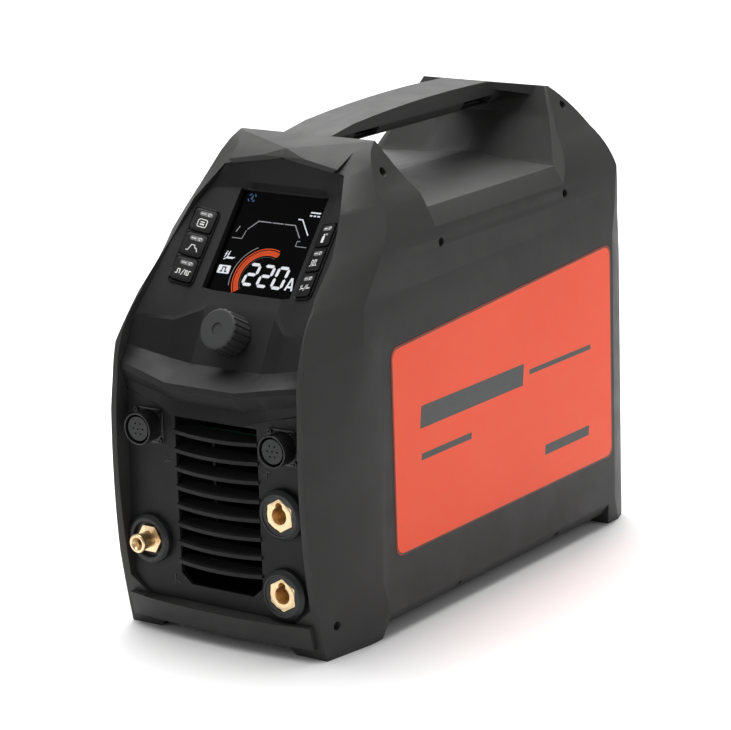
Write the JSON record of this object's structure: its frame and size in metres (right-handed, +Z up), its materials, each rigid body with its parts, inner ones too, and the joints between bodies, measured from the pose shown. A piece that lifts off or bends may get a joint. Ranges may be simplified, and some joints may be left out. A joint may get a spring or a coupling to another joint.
{
  "type": "tig welding machine",
  "caption": "Portable TIG welding inverter: two-shell cabinet with carrying handle, sloped control panel, louvred front, weld sockets, gas and remote fittings, rear fan.",
  "frame": {"origin": "on the floor under the middle of the cabinet", "axes": "+Z up, front with the sockets faces -Y, +X to the right-hand side seen from behind the machine"},
  "size_m": [0.21, 0.448, 0.3714],
  "materials": {
    "shell_plastic": "fine moulded texture, dark grey",
    "panel_plastic": "satin charcoal moulding",
    "knob_plastic": "soft-touch charcoal",
    "key_plastic": "satin black keypad",
    "label_film": "orange printed film, satin",
    "display_glass": "glossy black window with lit figures",
    "socket_plastic": "black insulating plastic",
    "black_metal": "black anodised connector shell",
    "brass": "turned brass",
    "steel": "zinc-plated steel",
    "black_steel": "black screws",
    "fan_plastic": "black fan plastic",
    "board": "green circuit board",
    "aluminium": "extruded aluminium",
    "ferrite": "grey ferrite",
    "copper": "copper, enamelled or bare",
    "capacitor_sleeve": "dark blue sleeve",
    "epoxy": "black potting and cases",
    "hose_rubber": "black gas hose"
  },
  "bodies": {
    "cabinet": {"right_shell": "shell_plastic", "left_shell": "shell_plastic", "shell_screws": "black_steel", "front_panel": "panel_plastic", "display_window": "display_glass", "display_module": "epoxy", "control_board": "board", "keypad_left": "key_plastic", "keypad_right": "key_plastic", "key_boards": "board", "encoder_body": "epoxy", "weld_socket_flange_upper": "socket_plastic", "weld_socket_flange_lower": "socket_plastic", "weld_socket_insert_upper": "brass", "weld_socket_insert_lower": "brass", "gas_outlet_flange": "socket_plastic", "gas_outlet_nipple": "brass", "remote_socket_left": "black_metal", "remote_socket_right": "black_metal", "remote_insert_left": "socket_plastic", "remote_insert_right": "socket_plastic", "panel_screws": "black_steel", "label_right": "label_film", "label_left": "label_film", "rear_panel": "panel_plastic", "fan_frame": "fan_plastic", "power_switch_case": "socket_plastic", "mains_cable_gland": "socket_plastic", "mains_gland_nut": "socket_plastic", "gas_inlet_nipple": "brass", "chassis_plate": "steel", "power_board": "board", "heatsink_primary": "aluminium", "heatsink_secondary": "aluminium", "power_modules": "epoxy", "mains_capacitors": "capacitor_sleeve", "transformer_core": "ferrite", "transformer_winding": "copper", "output_choke_core": "ferrite", "output_choke_winding": "copper", "ignition_unit": "epoxy", "input_filter": "epoxy", "gas_valve_body": "brass", "gas_valve_coil": "epoxy", "gas_valve_spring": "steel", "gas_hose_outlet": "hose_rubber", "busbars": "copper", "board_standoffs": "steel"},
    "knob_plunger": {"encoder_push_plate": "steel"},
    "knob": {"control_knob": "knob_plastic", "encoder_shaft": "steel"},
    "fan": {"fan_rotor": "fan_plastic"},
    "rocker": {"power_switch_rocker": "socket_plastic"},
    "valve_plunger": {"gas_valve_plunger": "steel"},
    "key_left_1_cap": {"key_left_1": "key_plastic"},
    "key_left_2_cap": {"key_left_2": "key_plastic"},
    "key_left_3_cap": {"key_left_3": "key_plastic"},
    "key_right_1_cap": {"key_right_1": "key_plastic"},
    "key_right_2_cap": {"key_right_2": "key_plastic"},
    "key_right_3_cap": {"key_right_3": "key_plastic"}
  },
  "joints": [
    {"name": "knob_push", "type": "slide", "parent": "cabinet", "child": "knob_plunger", "axis": [0, 0.8846, -0.4664], "range_m": [0, 0.0005], "stiffness_N_per_m": 6000},
    {"name": "knob_turn", "type": "hinge", "parent": "knob_plunger", "child": "knob", "pos_m": [0, -0.17894, 0.2279], "axis": [0, -0.8846, 0.4664], "continuous": true},
    {"name": "fan_spin", "type": "hinge", "parent": "cabinet", "child": "fan", "pos_m": [0, 0.197, 0.128], "axis": [0, 1, 0], "continuous": true},
    {"name": "switch_rock", "type": "hinge", "parent": "cabinet", "child": "rocker", "pos_m": [0.046, 0.211, 0.214], "axis": [1, 0, 0], "range_deg": [0, 16]},
    {"name": "valve_lift", "type": "slide", "parent": "cabinet", "child": "valve_plunger", "axis": [0, 0, 1], "range_m": [0, 0.0025], "stiffness_N_per_m": 400, "springref_m": -0.002, "deforming": ["gas_valve_spring"]},
    {"name": "key_left_1_press", "type": "slide", "parent": "cabinet", "child": "key_left_1_cap", "axis": [-0.3498, 0.7288, -0.5886], "range_m": [0, 0.0007], "stiffness_N_per_m": 1500},
    {"name": "key_left_2_press", "type": "slide", "parent": "cabinet", "child": "key_left_2_cap", "axis": [-0.3498, 0.7288, -0.5886], "range_m": [0, 0.0007], "stiffness_N_per_m": 1500},
    {"name": "key_left_3_press", "type": "slide", "parent": "cabinet", "child": "key_left_3_cap", "axis": [-0.3498, 0.7288, -0.5886], "range_m": [0, 0.0007], "stiffness_N_per_m": 1500},
    {"name": "key_right_1_press", "type": "slide", "parent": "cabinet", "child": "key_right_1_cap", "axis": [0.3498, 0.7288, -0.5886], "range_m": [0, 0.0007], "stiffness_N_per_m": 1500},
    {"name": "key_right_2_press", "type": "slide", "parent": "cabinet", "child": "key_right_2_cap", "axis": [0.3498, 0.7288, -0.5886], "range_m": [0, 0.0007], "stiffness_N_per_m": 1500},
    {"name": "key_right_3_press", "type": "slide", "parent": "cabinet", "child": "key_right_3_cap", "axis": [0.3498, 0.7288, -0.5886], "range_m": [0, 0.0007], "stiffness_N_per_m": 1500}
  ]
}
